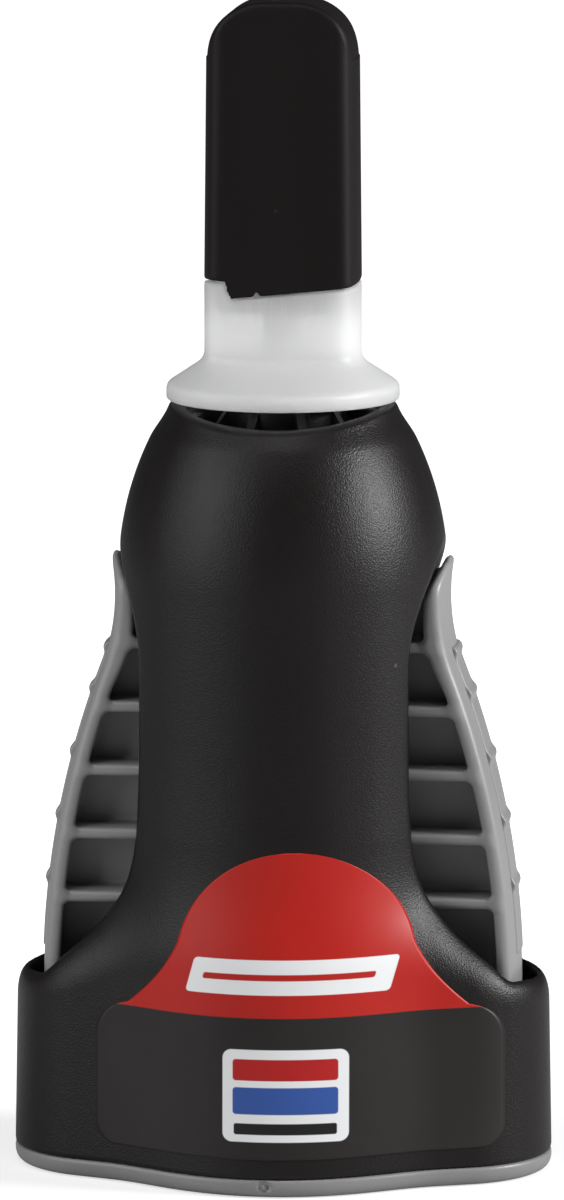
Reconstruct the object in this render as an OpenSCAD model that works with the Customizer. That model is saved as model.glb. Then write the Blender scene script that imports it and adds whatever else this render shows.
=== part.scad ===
// Squeeze dispenser for gel glue: a bell-shaped housing with two side grips that pinch
// a metal tube, a pale nozzle on top and a flat-sided cap.
// The front faces -Y, the side grips lie along X, and Z = 0 is the underside of the base plate.

/* [Foot] */
// Width across the side corners of the foot
foot_w = 48; // [46:0.5:51]
// Depth of the foot over its bulged middle
foot_d = 32; // [31:0.5:35]
// Radius of the side corners of the foot
corner_r = 9.5; // [9:0.1:10]
// Radius that the slanted wings of the foot run out from
wing_r = 14.7; // [14.4:0.1:15]
// Height of the skirt of the base plate
skirt_h = 1.7; // [1.2:0.1:2.4]
// Height of the rim round the side pockets
rim_z = 18; // [17:0.1:19]

/* [Housing] */
// Wall thickness of the housing
wall = 1.5; // [1.2:0.1:1.8]
// Radius of the round barrel
barrel_r = 14.6; // [14.2:0.1:15]
// Height where the flared foot meets the barrel
flare_z = 31; // [29:0.5:33]
// Height where the dome starts
dome_z = 53; // [52:0.5:55]
// Radius of the side curve of the dome
dome_r = 28; // [27:0.5:30]
// Height of the top rim
top_z = 68.2; // [67.5:0.1:69]
// Radius of the top rim, outside
rim_r = 8.9; // [8.7:0.1:9.2]
// Slope of the top face, rise over run
top_slope = 0.5; // [0.35:0.05:0.6]
// Depth of the dip in the top rim at the front and back
rim_dip = 1.2; // [0.6:0.1:1.4]
// Half width of the side window on the barrel
window_half = 7.5; // [7.1:0.1:7.9]
// Half width of the side window at the pocket rim
pocket_half = 5.6; // [5.4:0.1:5.9]
// Wall left around the pockets of the grips
pocket_wall = 1.3; // [1.1:0.05:1.4]
// Height where the arch of the window springs
arch_z = 46; // [45.5:0.5:47]
// Rise of the pointed arch
arch_h = 9.6; // [9:0.1:10.2]

/* [Neck] */
// Radius of the well that the nozzle stands in
well_r = 8.2; // [7.9:0.1:8.4]
// Height of the floor of the well
well_z = 63.2; // [62.8:0.1:64]
// Thickness of the well wall
well_wall = 1.2; // [1:0.1:1.4]
// Radius of the hole in the floor of the well
well_hole_r = 4.6; // [4.5:0.1:4.8]
// Number of fins on the neck ring
fin_count = 8; // [4:1:10]
// Thickness of a fin
fin_t = 0.8; // [0.6:0.1:1]
// Thickness of the hub and outer band of the neck ring
band_t = 0.8; // [0.6:0.1:1]
// Height of the outer band of the neck ring
band_h = 1.6; // [1.2:0.1:2.2]
// Width of a latch tab on the neck ring
latch_w = 2.4; // [1.8:0.1:3]
// Depth of the latch notches below the top rim
latch_h = 1.8; // [1.4:0.1:2.2]

/* [Glue tube] */
// Outer radius of the tube
tube_r = 6.75; // [6.4:0.05:6.9]
// Wall of the tube
tube_wall = 0.3; // [0.2:0.05:0.4]
// Height where the round tube starts to flatten towards its tail
tube_round_z = 30; // [28:0.5:31]
// Height of the top of the crimp
crimp_z = 12; // [11:0.5:14]
// Thickness of the crimped tail
crimp_t = 0.9; // [0.8:0.05:1.1]
// Height of the tail end
tail_z = 3.4; // [3:0.1:4]
// Height of the shoulder of the tube
shoulder_z = 58.3; // [57.8:0.1:58.6]
// Rise of the shoulder cone
shoulder_h = 3.4; // [3:0.1:3.6]
// Outer radius of the neck of the tube
neck_r = 3; // [2.8:0.05:3.1]
// Radius of the bore of the neck
neck_bore_r = 1.6; // [1.2:0.1:1.9]
// Height of the top of the neck
neck_z = 68.6; // [68.2:0.1:69]
// Level that the gel fills the tube to
gel_z = 54; // [40:1:56]

/* [Grips] */
// Distance from the side of the foot in to the widest part of a grip
grip_inset = 2.55; // [2.4:0.05:2.7]
// Height of that widest place
grip_wide_z = 16.5; // [15.5:0.5:17.5]
// Radius of the outer face of a grip, seen from the front
grip_r = 82; // [80:1:90]
// Rounding of the outer face, seen from above
grip_round_r = 17; // [16:0.5:18]
// Half depth of a grip, front to back
grip_half = 4.7; // [4.5:0.1:4.8]
// Thickness of the outer wall of a grip
grip_wall = 1.3; // [1:0.1:1.5]
// Thickness of the centre web
web_t = 1.2; // [1:0.1:1.6]
// Number of cross ribs
rib_count = 5; // [4:1:6]
// Distance from the start of the lip up to the top rib
rib_lift = 1.9; // [1.6:0.1:2.2]
// Spacing of the ribs
rib_pitch = 5.7; // [5.4:0.1:6]
// Thickness of a rib
rib_t = 1; // [0.8:0.1:1.4]
// Height where the lip starts to curl out
lip_z = 45; // [44.5:0.1:45.5]
// Radius of the outward curl of the lip
lip_r = 18; // [16:0.5:20]
// Angle that the lip turns past the vertical
lip_over = 10; // [6:1:12]
// Half width of the ridged strip on the outer face
strip_half = 2.9; // [2.4:0.1:3.2]
// Thickness of the ridged strip
strip_t = 0.4; // [0.3:0.05:0.7]
// Radius of a ridge
ridge_r = 0.35; // [0.3:0.05:0.6]
// Distance of a ridge above the rib inside it
ridge_up = 1.4; // [0.8:0.1:2]
// Distance of the strip above the rim of the pocket
strip_lift = 1.6; // [1.2:0.1:2.4]
// Distance from the side of the foot in to a pivot
pivot_inset = 7.5; // [7.3:0.1:7.8]
// Height of a pivot
pivot_z = 6.5; // [6.2:0.1:7.2]
// Radius of the trunnions
trunnion_r = 1.3; // [1:0.05:1.4]
// Radius of the knuckle round the pivot
knuckle_r = 2; // [1.8:0.05:2.2]
// Half depth of the foot of a grip
knuckle_half = 3.6; // [3.4:0.05:3.7]
// Angle that a grip can be squeezed by
squeeze = 5; // [3:0.5:5.5]
// Height of the lower end of the pressing nose
nose_z = 32; // [31:0.5:34]
// Length of the pressing nose
nose_h = 11; // [8:0.5:12]
// Half width of the pressing nose
nose_half = 3; // [2:0.1:3.4]

/* [Base plate] */
// Height of the plug ring inside the housing
plug_h = 2.8; // [2:0.1:3.2]
// Thickness of the plug ring
plug_t = 1.1; // [0.9:0.1:1.2]
// Thickness of the bearing cheeks
cheek_t = 1.2; // [1:0.05:1.3]
// Half width of the tail post
post_half = 2.4; // [2:0.1:3]
// Height of the top of the tail post
post_z = 9; // [8:0.5:10]
// Depth of the hollow in the underside
hollow_h = 0.6; // [0.3:0.1:0.8]
// Width of the flat rim that the base plate stands on
stand_w = 3.4; // [2.5:0.1:5]

/* [Nozzle] */
// Radius of the flange
flange_r = 10.3; // [9.8:0.1:10.8]
// Gap between the flange and the top rim
flange_gap = 0.5; // [0.4:0.1:1]
// Height of the rim of the flange
flange_h = 1.4; // [1.1:0.1:1.6]
// Rise of the cone above the flange
cone_h = 2.2; // [2:0.1:3]
// Radius of the flat-sided collar
collar_r = 6.95; // [6.7:0.05:7.1]
// Half depth of the collar across its flats
flat_half = 3.9; // [3.8:0.05:4.2]
// Wall of the collar
collar_wall = 1; // [0.8:0.05:1.05]
// Outer radius of the sleeve on the neck of the tube
sleeve_r = 4.2; // [4:0.05:4.25]
// Radius of the spout at its root
spout_root_r = 2.7; // [2.5:0.05:2.75]
// Radius of the spout at its tip
spout_tip_r = 1.15; // [1:0.05:1.3]
// Height of the tip of the spout
spout_z = 98.6; // [97.5:0.1:99]
// Radius of the outlet
outlet_r = 0.5; // [0.48:0.01:0.6]
// Depth of the narrow outlet
outlet_h = 8; // [7.8:0.1:10]

/* [Cap] */
// Height of the top of the cap
cap_z = 104; // [103.6:0.1:105]
// Mean height of the edge between the cap and the collar
edge_z = 78.5; // [78.3:0.05:79.2]
// Half height of the step in that edge
edge_b = 0.9; // [0.5:0.05:1]
// Direction of the step, counterclockwise from +X
edge_turn = 220; // [200:5:250]
// Radius of the top corners of the cap
cap_corner_r = 5; // [4:0.1:5.5]
// Half width of the cap under its top corners
cap_half = 6.75; // [6.5:0.05:6.9]
// Wall of the cap
cap_wall = 1; // [0.8:0.05:1.05]
// Thickness of the crown of the cap
crown_t = 3.2; // [3:0.1:3.6]
// Wall of the inner sleeve of the cap
cap_sleeve_t = 0.8; // [0.6:0.05:1]
// Radius of the steel pin
pin_r = 0.4; // [0.35:0.01:0.42]
// Length of the pin inside the outlet
pin_reach = 6; // [4:0.5:7]
// Radius of the head of the pin
pin_head_r = 1.1; // [0.9:0.05:1.3]
// Thickness of the head of the pin
pin_head_t = 0.6; // [0.5:0.05:0.8]
// Depth of the dimple that the head lies in
dimple_h = 1.4; // [1.2:0.1:1.6]
// Thickness of the seal on the tip
seal_t = 1; // [0.8:0.05:1.1]

/* [Labels] */
// Thickness of a label
label_t = 0.12; // [0.1:0.01:0.2]
// Half width of a label
label_half = 18; // [16:0.2:19]
// Height of the lower edge of a label
label_z = 3.6; // [3:0.1:5]
// Height of the shoulders of a label
label_side_z = 14.4; // [12:0.1:15]
// Height of the flanks of a label
label_flank_z = 20; // [19:0.1:21]
// Half width of a label at its flanks
label_flank_half = 12.1; // [11:0.1:13]
// Half width of the round top of a label
label_dome_half = 10.4; // [9:0.1:10.8]
// Height of the round top of a label
label_top_z = 30.6; // [29:0.1:31.5]
// Distance of a label to one side of the middle
label_x = 2.4; // [0:0.1:2.6]
// Radius of the lower corners of a label
label_corner_r = 2; // [1:0.1:3]

/* [Fits] */
// Running gap at the pivots
run_gap = 0.05; // [0.03:0.01:0.08]
// Gap between pieces that are pushed together
fit_gap = 0.12; // [0.08:0.01:0.2]
// Free gap between loose pieces
free_gap = 0.3; // [0.2:0.05:0.35]
// Angle left free at the step between cap and collar
step_gap = 1; // [0.5:0.1:2]
// Gap between the window and the lip of a grip
lip_gap = 0.6; // [0.4:0.05:0.8]

/* [Hidden] */
$fn = 64;
black = "#1a1a1b";
grey = "#7b7c7f";
pale = "#e4e5e6";
metal = "#b9bcc0";
red = "#c9252b";
amber = "#d9d6c6";

// Long enough to pass through the whole object
far = 4 * foot_w;
// A hair of overlap where two shapes of one solid join
join = 0.02;

// Length that a cutting shape runs past the face that it cuts
past = 1;
// Depth that straight sides run inside the arcs they meet, so that they cross cleanly
bite = 0.06;
// The flare runs a little inside the barrel at its top, for the same reason
flare_top_r = barrel_r - wall / 10;
bulge_r = foot_d / 2;
wing_x = foot_w / 2 - corner_r;
wing_turn = asin((wing_r - corner_r) / wing_x);
flare_dx = foot_w / 2 - flare_top_r;
flare_dz = flare_z - rim_z;
flare_r = (flare_dx * flare_dx + flare_dz * flare_dz) / (2 * flare_dx);
arch_r = (arch_h * arch_h + window_half * window_half) / (2 * window_half);
rim_dip_r = (rim_dip * rim_dip + rim_r * rim_r) / (2 * rim_dip);

grip_x = foot_w / 2 - grip_inset;
pivot_x = foot_w / 2 - pivot_inset;
rib_top_z = lip_z + rib_lift;
strip_low_z = rim_z + strip_lift;
grip_cx = grip_x - grip_r;
lip_turn = asin((lip_z - grip_wide_z) / grip_r);
// Angle that the root of the lip runs down inside the wall, a hair below its faces
root_turn = 1.5;
strip_top_z = lip_z - (lip_r + grip_wall) * sin(root_turn) - 2 * fit_gap;
grip_low_z = pivot_z + knuckle_r + 2 * free_gap;
lean = tan(squeeze);
press_x = tube_r + free_gap;

flange_z = top_z + flange_gap;
cone_z = flange_z + flange_h;
collar_z = cone_z + cone_h;
spout_root_z = edge_z - edge_b - past;
crown_z = cap_z - crown_t;
dimple_r = pin_head_r + fit_gap;
cap_sleeve_z = edge_z + edge_b + free_gap;

// Outlines

function tangent(r, x) = [x + r * sin(wing_turn), r * cos(wing_turn)];
function flip_x(p) = [-p[0], p[1]];
function flip_y(p) = [p[0], -p[1]];

// Plan of the foot, grown by d
module foot_plan(d) {
    core = tangent(wing_r + d - bite, 0);
    tip = tangent(corner_r + d - bite, wing_x);
    circle(r = bulge_r + d);
    circle(r = wing_r + d);
    for (side = [-1, 1]) translate([side * wing_x, 0]) circle(r = corner_r + d);
    polygon([core, tip, flip_y(tip), flip_y(core),
        -core, -tip, flip_x(tip), flip_x(core)]);
}

// Half section of the bell that the foot flares out to, grown by d
module flare_section(d) {
    difference() {
        translate([0, skirt_h]) square([foot_w / 2 + wall, flare_z - skirt_h]);
        translate([flare_top_r + flare_r, flare_z]) circle(r = flare_r - d, $fn = 180);
    }
}

// Half section of the round barrel and dome, grown by d
module barrel_section(d) {
    translate([0, skirt_h]) square([barrel_r + d, dome_z - skirt_h]);
    intersection() {
        translate([barrel_r - dome_r, dome_z]) circle(r = dome_r + d, $fn = 180);
        translate([0, dome_z]) square([far, far]);
        polygon([[0, 0], [far, 0], [far, top_z + d - (far - rim_r) * top_slope],
            [rim_r, top_z + d], [0, top_z + d]]);
    }
}

// Side outline of the window, shrunk by gap, from the height low upwards
module window_outline(gap, low) {
    half = window_half - gap;
    polygon([[-pocket_half + gap, low], [pocket_half - gap, low], [half, flare_z],
        [half, arch_z], [-half, arch_z], [-half, flare_z]]);
    intersection() {
        translate([-far / 2, arch_z - join]) square([far, far]);
        translate([window_half - arch_r, arch_z]) circle(r = arch_r - gap);
        translate([arch_r - window_half, arch_z]) circle(r = arch_r - gap);
    }
}

// Plan of the flat-sided cap and collar
module flat_plan(r, half) {
    intersection() {
        circle(r = r);
        square([2 * (r + past), 2 * half], center = true);
    }
}

// Sweep of an outline along X, along Y and half way to the front or back
module along_x() rotate([90, 0, 90]) linear_extrude(far, center = true) children();
module along_y(h) rotate([90, 0, 0]) linear_extrude(h, center = true) children();
module front_half() rotate([90, 0, 0]) linear_extrude(far) children();

// Housing

// Round barrel on a flared foot, grown by d
module bell_form(d) {
    rotate_extrude() barrel_section(d);
    intersection() {
        translate([0, 0, skirt_h]) linear_extrude(flare_z - skirt_h) foot_plan(d);
        rotate_extrude() flare_section(d);
    }
}

module inner_form() {
    bell_form(-wall);
    translate([0, 0, skirt_h - past]) linear_extrude(past + join) foot_plan(-wall);
}

// Cup below the top rim, with a cone under it that seats the shoulder of the tube
module neck_well() {
    slope = shoulder_h / (tube_r - neck_r);
    seat_top_z = shoulder_z + (tube_r - well_hole_r) * slope + free_gap;
    outer_r = well_r + well_wall;
    high = top_z - wall / 2;
    rotate_extrude() polygon([[well_hole_r, seat_top_z], [well_hole_r, high], [outer_r, high],
        [outer_r, well_z - well_wall], [tube_r + free_gap, shoulder_z + free_gap]]);
}

// Ribs on the front and back walls that steady the tube
module guide_ribs() {
    low = tube_round_z;
    high = shoulder_z - well_wall;
    difference() {
        intersection() {
            for (side = [-1, 1]) translate([side * tube_r / 2 - wall / 2, -far / 2, low])
                cube([wall, far, high - low]);
            translate([0, 0, low]) cylinder(r = barrel_r - wall / 2, h = high - low);
        }
        translate([0, 0, low - past]) cylinder(r = tube_r + free_gap, h = high - low + 2 * past);
    }
}

// Side windows, with room in the foot below them for the lower ends of the grips
module side_windows() {
    low = rim_z - 2 * wall;
    intersection() {
        union() {
            along_x() window_outline(0, rim_z);
            translate([-far / 2, -pocket_half, low]) cube([far, 2 * pocket_half, 2 * wall + join]);
        }
        translate([0, 0, low - past]) linear_extrude(far) foot_plan(-pocket_wall);
    }
}

module latch_notches(gap) {
    translate([-far / 2, -latch_w / 2 - gap, top_z - latch_h - gap])
        cube([far, latch_w + 2 * gap, far]);
}

// Dip in the top rim that shows the neck ring from the front
module rim_cut() {
    translate([0, 0, top_z - rim_dip + rim_dip_r]) rotate([90, 0, 0])
        cylinder(r = rim_dip_r, h = far, center = true, $fn = 180);
}

module housing() {
    color(black) {
        difference() {
            union() {
                difference() {
                    bell_form(0);
                    inner_form();
                }
                neck_well();
            }
            side_windows();
            rim_cut();
            translate([0, 0, well_z]) cylinder(r = well_r, h = far);
            intersection() {
                latch_notches(fit_gap);
                cylinder(r = well_r + well_wall / 2, h = far);
            }
        }
        guide_ribs();
    }
}

// Base plate

module cheek_outline() {
    reach = knuckle_r + fit_gap;
    translate([pivot_x, pivot_z]) circle(r = reach);
    translate([pivot_x - reach, skirt_h - join]) square([2 * reach, pivot_z - skirt_h]);
}

module cheeks() {
    inner = knuckle_half + fit_gap;
    for (x_side = [0, 1], y_side = [0, 1]) mirror([x_side, 0, 0]) mirror([0, y_side, 0])
        difference() {
            translate([0, inner + cheek_t, 0]) rotate([90, 0, 0])
                linear_extrude(cheek_t) cheek_outline();
            translate([pivot_x, inner + cheek_t + past, pivot_z]) rotate([90, 0, 0])
                cylinder(r = trunnion_r + run_gap, h = cheek_t + 2 * past);
        }
}

module tail_post() {
    half = PI * tube_r / 2 + free_gap;
    slot_half = crimp_t / 2 + fit_gap;
    difference() {
        translate([-post_half, -half - wall, skirt_h - join])
            cube([2 * post_half, 2 * (half + wall), post_z - skirt_h]);
        translate([-slot_half, -half, tail_z - fit_gap])
            cube([2 * slot_half, 2 * half, far]);
    }
}

module base_plate() {
    plug = wall + fit_gap;
    color(grey) {
        difference() {
            union() {
                linear_extrude(skirt_h) foot_plan(0);
                translate([0, 0, skirt_h - join]) linear_extrude(plug_h) foot_plan(-plug);
            }
            translate([0, 0, skirt_h]) linear_extrude(far) foot_plan(-plug - plug_t);
            translate([0, 0, -past]) linear_extrude(past + hollow_h) foot_plan(-stand_w);
        }
        cheeks();
        tail_post();
    }
}

// Neck ring

module neck_ring() {
    hub_in = sleeve_r + fit_gap;
    hub_out = hub_in + band_t;
    outer = well_r - fit_gap;
    top = top_z - fit_gap;
    low = well_z + fit_gap;
    color(black) {
        rotate_extrude() {
            translate([hub_in, low]) square([band_t, top - low]);
            translate([outer - band_t, low]) square([band_t, band_h]);
            translate([hub_in, low]) square([outer - hub_in, band_t]);
        }
        for (i = [0 : fin_count - 1]) rotate((i + 0.5) * 360 / fin_count)
            rotate([90, 0, 0]) linear_extrude(fin_t, center = true)
                polygon([[hub_out - join, low], [outer - band_t + join, low],
                    [outer - band_t + join, low + band_h], [hub_out - join, top]]);
        for (side = [0, 180]) rotate(side)
            translate([outer - band_t, -latch_w / 2, low])
                cube([band_t - join, latch_w, top - low - latch_h / 2]);
    }
}

// Glue tube and its contents

module flattening(r, half_t, half_w) {
    hull() {
        translate([0, 0, tube_round_z]) cylinder(r = r, h = join, $fn = 32);
        translate([-half_t, -half_w, crimp_z]) cube([2 * half_t, 2 * half_w, join]);
    }
}

module glue_tube() {
    inner = tube_r - tube_wall;
    crimp_half = PI * tube_r / 2;
    color(metal) difference() {
        union() {
            translate([-crimp_t / 2, -crimp_half, tail_z])
                cube([crimp_t, 2 * crimp_half, crimp_z - tail_z + join]);
            flattening(tube_r, crimp_t / 2, crimp_half);
            rotate_extrude() polygon([[0, tube_round_z], [tube_r, tube_round_z],
                [tube_r, shoulder_z], [neck_r, shoulder_z + shoulder_h], [neck_r, neck_z],
                [0, neck_z]]);
        }
        flattening(inner, crimp_t / 2 - tube_wall, crimp_half - tube_wall);
        rotate_extrude() polygon([[0, tube_round_z], [inner, tube_round_z],
            [inner, shoulder_z - tube_wall],
            [neck_bore_r, shoulder_z + shoulder_h - tube_wall - join],
            [neck_bore_r, neck_z + past], [0, neck_z + past]]);
    }
}

module glue_gel() {
    r = tube_r - tube_wall - run_gap;
    half_t = crimp_t / 2 - tube_wall - run_gap;
    color(amber) {
        flattening(r, half_t, PI * tube_r / 2 - tube_wall - 2 * free_gap);
        translate([0, 0, tube_round_z]) cylinder(r = r, h = gel_z - tube_round_z);
    }
}

// Nozzle and cap

// Everything above the stepped edge between cap and collar, raised by lift and turned back.
// Each half of the edge is one slanted plane, lowest just past its step.
module above_edge(lift, back) {
    reach = 2 * collar_r;
    drop = edge_b * reach / collar_r;
    level = edge_z + lift;
    for (half = [0, 180]) rotate(edge_turn - back + half) rotate([90, 0, 0])
        translate([0, 0, -reach]) linear_extrude(reach)
            polygon([[-reach, level + drop], [reach, level - drop], [reach, far], [-reach, far]]);
}

module nozzle() {
    skirt_in = flange_r - flange_h;
    color(pale) {
        difference() {
            union() {
                rotate_extrude() polygon([[0, well_z - flange_gap], [sleeve_r, well_z - flange_gap],
                    [sleeve_r, cone_z], [skirt_in, cone_z - flange_h / 3], [skirt_in, flange_z],
                    [flange_r, flange_z], [flange_r, cone_z], [collar_r, collar_z], [0, collar_z]]);
                translate([0, 0, collar_z - join])
                    linear_extrude(edge_z + edge_b - collar_z) flat_plan(collar_r, flat_half);
            }
            above_edge(-fit_gap / 2, step_gap);
            translate([0, 0, spout_root_z])
                linear_extrude(far) flat_plan(collar_r - collar_wall, flat_half - collar_wall);
            nozzle_bore();
        }
        difference() {
            translate([0, 0, spout_root_z - join])
                cylinder(r1 = spout_root_r, r2 = spout_tip_r, h = spout_z - spout_root_z + join);
            nozzle_bore();
        }
    }
}

module nozzle_bore() {
    socket_r = neck_r + run_gap;
    rotate_extrude() polygon([[0, well_z - 2 * flange_gap], [socket_r, well_z - 2 * flange_gap],
        [socket_r, neck_z + fit_gap], [neck_bore_r, neck_z + fit_gap], [neck_bore_r, spout_root_z],
        [outlet_r, spout_z - outlet_h], [outlet_r, spout_z + past], [0, spout_z + past]]);
}

// Cap outline seen from the front, shrunk by gap all round
module cap_outline(gap) {
    side = cap_half - gap;
    corner = cap_corner_r - gap;
    low = spout_root_z;
    polygon([[-collar_r + gap, low], [collar_r - gap, low], [side, cap_z - cap_corner_r],
        [-side, cap_z - cap_corner_r]]);
    for (x = [-1, 1]) translate([x * (cap_half - cap_corner_r), cap_z - cap_corner_r])
        circle(r = corner);
    translate([cap_corner_r - cap_half, cap_z - cap_corner_r - join])
        square([2 * (cap_half - cap_corner_r), corner + join]);
}

module cap_block(gap, high) {
    intersection() {
        translate([0, 0, spout_root_z])
            linear_extrude(high - spout_root_z) flat_plan(collar_r - gap, flat_half - gap);
        along_y(far) cap_outline(gap);
    }
}

// Radius of the spout at a height
function spout_r(z) = spout_root_r
    + (spout_tip_r - spout_root_r) * (z - spout_root_z) / (spout_z - spout_root_z);

module cap_shell() {
    seal_top_z = spout_z + seal_t + 2 * fit_gap;
    bore_low_r = spout_r(cap_sleeve_z) + fit_gap;
    bore_high_r = spout_tip_r + fit_gap;
    color(black) difference() {
        union() {
            difference() {
                cap_block(0, cap_z);
                cap_block(cap_wall, crown_z);
            }
            intersection() {
                translate([0, 0, cap_sleeve_z])
                    cylinder(r1 = bore_low_r + cap_sleeve_t, r2 = bore_high_r + cap_sleeve_t,
                        h = crown_z - cap_sleeve_z + join);
                cap_block(cap_wall / 2, cap_z);
            }
        }
        translate([0, 0, cap_sleeve_z - past])
            cylinder(r1 = spout_r(cap_sleeve_z - past) + fit_gap, r2 = bore_high_r,
                h = spout_z - cap_sleeve_z + past);
        translate([0, 0, spout_z - join]) cylinder(r = bore_high_r, h = seal_top_z - spout_z + join);
        translate([0, 0, spout_z]) cylinder(r = pin_r + run_gap, h = far);
        translate([0, 0, cap_z - dimple_h]) cylinder(r = dimple_r, h = far);
        difference() {
            translate([0, 0, edge_z - far / 2]) cylinder(r = far, h = far / 2 + 2 * edge_b);
            above_edge(fit_gap / 2, 0);
        }
    }
}

module cap_pin() {
    low = spout_z - pin_reach;
    head_z = cap_z - dimple_h + run_gap;
    color(metal) {
        translate([0, 0, low]) cylinder(r = pin_r, h = head_z - low + join);
        translate([0, 0, head_z]) cylinder(r = pin_head_r, h = pin_head_t);
    }
}

module tip_seal() {
    color(pale) translate([0, 0, spout_z + fit_gap]) difference() {
        cylinder(r = spout_tip_r, h = seal_t);
        translate([0, 0, -past]) cylinder(r = pin_r + run_gap, h = seal_t + 2 * past);
    }
}

// Grips

// Turns a section about the middle of the outer curve, from one height to another
module sweep_grip(low, high) {
    start = asin((low - grip_wide_z) / grip_r);
    end = asin((high - grip_wide_z) / grip_r);
    translate([grip_cx, 0, grip_wide_z]) rotate([90, 0, 0]) rotate(start)
        rotate_extrude(angle = end - start, $fn = 360) children();
}

// Section of the grip within half depth, inset below the outer face
module grip_section(inset, half) {
    intersection() {
        union() {
            translate([grip_r - grip_round_r, 0]) circle(r = grip_round_r - inset);
            translate([grip_r - 2 * grip_round_r, -grip_round_r + inset])
                square([grip_round_r, 2 * (grip_round_r - inset)]);
        }
        square([4 * grip_r, 2 * half], center = true);
    }
}

// Crescent between two insets
module crescent(outer, inner, half) {
    difference() {
        grip_section(outer, half);
        grip_section(inner, 2 * half);
        translate([0, -half]) square([grip_r - grip_round_r, 2 * half]);
    }
}

// Curled lip at the top, cut to the arch of the window
module lip() {
    centre_r = grip_r + lip_r;
    intersection() {
        translate([grip_cx + centre_r * cos(lip_turn), 0, grip_wide_z + centre_r * sin(lip_turn)])
            rotate([90, 0, 0]) rotate(180 - lip_over)
                rotate_extrude(angle = lip_turn + lip_over + root_turn, $fn = 360)
                    translate([lip_r + grip_round_r, 0]) mirror([1, 0])
                        translate([grip_round_r - grip_r, 0])
                            crescent(join, grip_wall - join, grip_half - join);
        along_x() window_outline(lip_gap, rim_z);
    }
}

// Region of the web and ribs, seen from the front, behind the leaning inner edge
module inner_region(low, high) {
    polygon([[press_x + (low - pivot_z) * lean, low], [far, low], [far, high],
        [press_x + (high - pivot_z) * lean, high]]);
}

module ribs() {
    low = rib_top_z - (rib_count - 1) * rib_pitch - rib_t / 2;
    intersection() {
        sweep_grip(grip_low_z, rib_top_z + rib_t) grip_section(grip_wall / 2, grip_half - fit_gap);
        union() {
            along_y(web_t) inner_region(grip_low_z, rib_top_z);
            along_y(far) intersection() {
                inner_region(low, rib_top_z + rib_t);
                for (i = [0 : rib_count - 1])
                    translate([0, rib_top_z - i * rib_pitch - rib_t / 2]) square([far, rib_t]);
            }
        }
    }
}

// Nose of the web that rests against the tube
module nose() {
    edge = press_x + (nose_z + nose_h - pivot_z) * lean;
    reach = edge - press_x;
    along_y(2 * nose_half) polygon([[press_x, nose_z + reach / 2], [edge + past, nose_z],
        [edge + past, nose_z + nose_h], [press_x, nose_z + nose_h - reach / 2]]);
}

// Foot that turns on the base plate
module grip_foot() {
    top = grip_wide_z + grip_wall;
    along_y(2 * knuckle_half) {
        translate([pivot_x, pivot_z]) circle(r = knuckle_r);
        intersection() {
            translate([grip_cx, grip_wide_z]) circle(r = grip_r - grip_wall / 2, $fn = 360);
            polygon([[pivot_x - knuckle_r, pivot_z], [pivot_x + knuckle_r, pivot_z],
                [grip_x - grip_wall / 4, grip_wide_z], [grip_x - grip_wall / 4, top],
                [grip_x - 2 * grip_wall, top]]);
        }
    }
    translate([pivot_x, 0, pivot_z]) rotate([90, 0, 0])
        cylinder(r = trunnion_r, h = 2 * (knuckle_half + cheek_t), center = true);
}

module grip() {
    color(grey) {
        difference() {
            sweep_grip(grip_wide_z, lip_z) crescent(0, grip_wall, grip_half);
            strip_seat();
        }
        lip();
        ribs();
        nose();
        grip_foot();
    }
}

// Shallow seat of the ridged strip in the outer face
module strip_seat() {
    sweep_grip(strip_low_z, strip_top_z + fit_gap)
        crescent(-past, strip_t / 2, strip_half + fit_gap);
}

// Ridged strip on the outer face
module grip_strip() {
    ridge_turn = asin(strip_half / (grip_round_r + strip_t));
    color(grey) {
        sweep_grip(strip_low_z + fit_gap, strip_top_z)
            crescent(-strip_t / 2, strip_t / 2 - join, strip_half);
        for (i = [1 : rib_count - 1]) {
            z = rib_top_z - i * rib_pitch + ridge_up;
            turn = asin((z - grip_wide_z) / grip_r);
            translate([grip_cx, 0, grip_wide_z]) rotate([0, -turn, 0])
                translate([grip_r - grip_round_r, 0, 0])
                    rotate(-ridge_turn) rotate_extrude(angle = 2 * ridge_turn)
                        translate([grip_round_r + strip_t / 2 - join, 0]) circle(r = ridge_r, $fn = 32);
        }
    }
}

module right_grip() grip();
module left_grip() mirror([1, 0, 0]) grip();
module right_grip_strip() grip_strip();
module left_grip_strip() mirror([1, 0, 0]) grip_strip();

// Labels

module label_outline() {
    low = label_z + label_corner_r;
    half = label_half - label_corner_r;
    for (side = [-1, 1]) translate([side * half, low]) circle(r = label_corner_r);
    translate([-half, label_z]) square([2 * half, label_side_z - label_z]);
    translate([-label_half, low]) square([2 * label_half, label_side_z - low]);
    polygon([[-label_half, label_side_z - join], [label_half, label_side_z - join],
        [label_flank_half, label_flank_z], [label_dome_half, label_top_z - label_dome_half / 2],
        [-label_dome_half, label_top_z - label_dome_half / 2], [-label_flank_half, label_flank_z]]);
    intersection() {
        rise = label_dome_half / 2;
        r = (rise * rise + label_dome_half * label_dome_half) / (2 * rise);
        translate([0, label_top_z - r]) circle(r = r);
        translate([-far / 2, label_top_z - rise - join]) square([far, far]);
    }
}

module label() {
    intersection() {
        difference() {
            bell_form(label_t);
            bell_form(join);
        }
        front_half() translate([label_x, 0]) label_outline();
    }
}

module front_label() color(red) label();
module back_label() color(red) rotate(180) label();

housing();
base_plate();
neck_ring();
glue_tube();
glue_gel();
nozzle();
left_grip();
right_grip();
left_grip_strip();
right_grip_strip();
cap_shell();
cap_pin();
tip_seal();
front_label();
back_label();
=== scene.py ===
import math

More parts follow.
